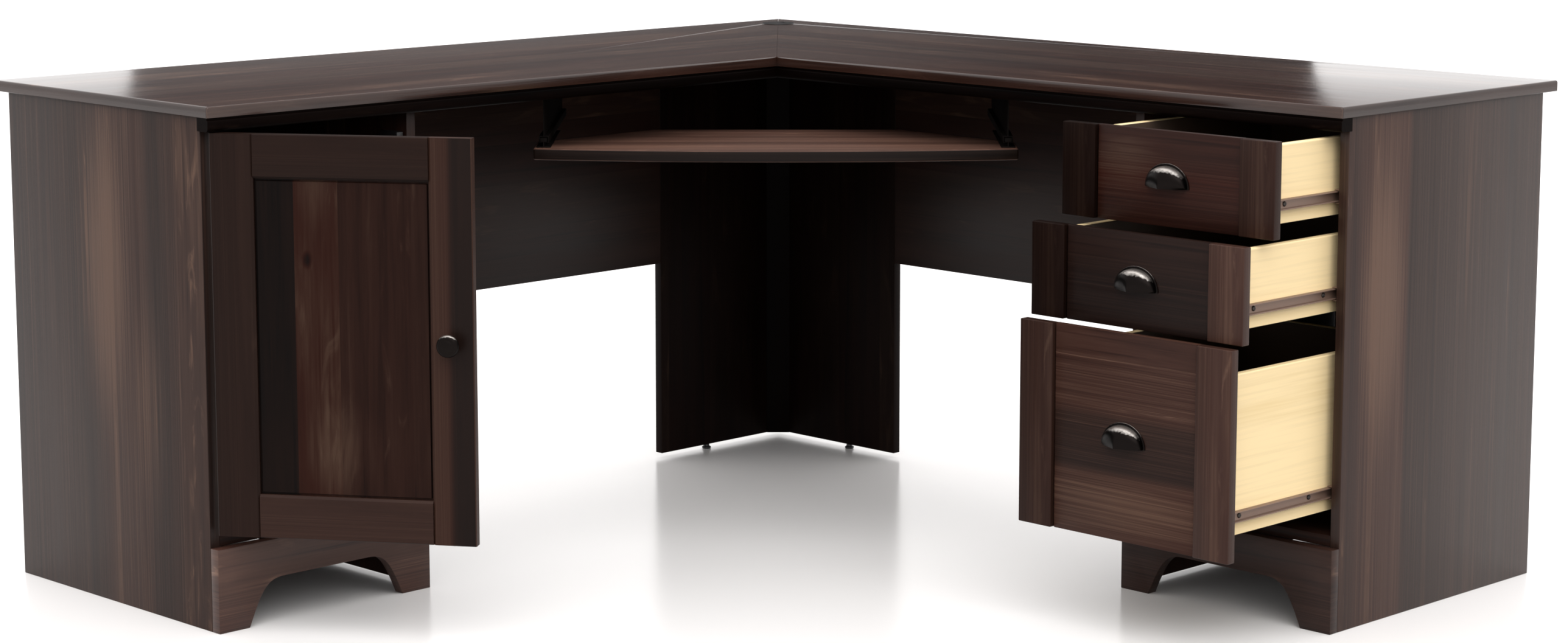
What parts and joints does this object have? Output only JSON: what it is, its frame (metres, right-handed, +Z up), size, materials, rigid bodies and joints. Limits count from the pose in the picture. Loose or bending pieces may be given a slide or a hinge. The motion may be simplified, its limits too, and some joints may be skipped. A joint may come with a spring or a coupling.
{
  "type": "corner desk",
  "caption": "L-shaped corner desk with a door cabinet under one wing, drawers under the other and a sliding keyboard shelf across the inner corner.",
  "frame": {"origin": "on the floor, under the middle of the desk's square footprint", "axes": "+Z up; the back corner of the L is at -X +Y; the right-hand wing runs along the +Y side and its drawers open towards -Y; the left-hand wing runs along the -X side and its door faces +X"},
  "size_m": [1.654, 1.654, 0.7536],
  "materials": {
    "cherry_laminate": "dark rustic cherry wood-grain laminate, satin",
    "maple_laminate": "pale maple wood-grain laminate, satin",
    "brown_hardboard": "printed hardboard, matte",
    "brown_enamel": "brown enamelled steel, semi-gloss",
    "dark_pewter": "dark antique pewter, satin",
    "hinge_steel": "nickel-plated steel",
    "black_plastic": "moulded, matte"
  },
  "bodies": {
    "desk": {"top_left_panel": "cherry_laminate", "top_right_panel": "cherry_laminate", "front_rail_left": "cherry_laminate", "front_rail_right": "cherry_laminate", "left_end_panel": "cherry_laminate", "left_inner_panel": "cherry_laminate", "left_back_panel": "brown_hardboard", "left_deck": "cherry_laminate", "left_valance": "cherry_laminate", "left_modesty_panel": "cherry_laminate", "right_end_panel": "cherry_laminate", "right_inner_panel": "cherry_laminate", "right_back_panel": "brown_hardboard", "right_deck": "cherry_laminate", "right_valance": "cherry_laminate", "right_modesty_panel": "cherry_laminate", "corner_leg_left": "cherry_laminate", "corner_leg_right": "cherry_laminate", "corner_leg_post": "cherry_laminate", "leg_glide_left": "black_plastic", "leg_glide_right": "black_plastic", "grommet_sleeve": "black_plastic", "cabinet_shelf": "cherry_laminate", "hinge_arm_lower": "hinge_steel", "hinge_arm_upper": "hinge_steel", "top_cabinet_runner_inner": "brown_enamel", "top_cabinet_runner_outer": "brown_enamel", "middle_cabinet_runner_inner": "brown_enamel", "middle_cabinet_runner_outer": "brown_enamel", "file_cabinet_runner_inner": "brown_enamel", "file_cabinet_runner_outer": "brown_enamel", "keyboard_hanger_left": "brown_enamel", "keyboard_hanger_right": "brown_enamel"},
    "door": {"door_frame": "cherry_laminate", "door_panel": "cherry_laminate", "door_knob": "dark_pewter", "hinge_cup_lower": "hinge_steel", "hinge_cup_upper": "hinge_steel"},
    "top_drawer": {"top_drawer_front": "cherry_laminate", "top_drawer_box": "maple_laminate", "top_drawer_bottom": "maple_laminate", "top_drawer_pull": "dark_pewter", "top_drawer_runner_inner": "brown_enamel", "top_drawer_runner_outer": "brown_enamel"},
    "middle_drawer": {"middle_drawer_front": "cherry_laminate", "middle_drawer_box": "maple_laminate", "middle_drawer_bottom": "maple_laminate", "middle_drawer_pull": "dark_pewter", "middle_drawer_runner_inner": "brown_enamel", "middle_drawer_runner_outer": "brown_enamel"},
    "file_drawer": {"file_drawer_front": "cherry_laminate", "file_drawer_box": "maple_laminate", "file_drawer_bottom": "maple_laminate", "file_drawer_pull": "dark_pewter", "file_drawer_runner_inner": "brown_enamel", "file_drawer_runner_outer": "brown_enamel"},
    "keyboard_tray": {"keyboard_shelf": "cherry_laminate", "keyboard_runner_left": "brown_enamel", "keyboard_runner_right": "brown_enamel"},
    "grommet_cap": {"grommet_cap": "black_plastic"}
  },
  "joints": [
    {"name": "door_hinge", "type": "hinge", "parent": "desk", "child": "door", "pos_m": [-0.289, -0.82, 0.42885], "axis": [0, 0, -1], "range_deg": [-55, 55]},
    {"name": "top_drawer_slide", "type": "slide", "parent": "desk", "child": "top_drawer", "axis": [0, -1, 0], "range_m": [-0.15, 0.15]},
    {"name": "middle_drawer_slide", "type": "slide", "parent": "desk", "child": "middle_drawer", "axis": [0, -1, 0], "range_m": [-0.215, 0.085]},
    {"name": "file_drawer_slide", "type": "slide", "parent": "desk", "child": "file_drawer", "axis": [0, -1, 0], "range_m": [-0.238, 0.1]},
    {"name": "keyboard_slide", "type": "slide", "parent": "desk", "child": "keyboard_tray", "axis": [0.7071, -0.7071, 0], "range_m": [-0.3, 0.03]},
    {"name": "grommet_cap_turn", "type": "hinge", "parent": "desk", "child": "grommet_cap", "pos_m": [-0.752, 0.752, 0.752], "axis": [0, 0, 1], "continuous": true}
  ]
}
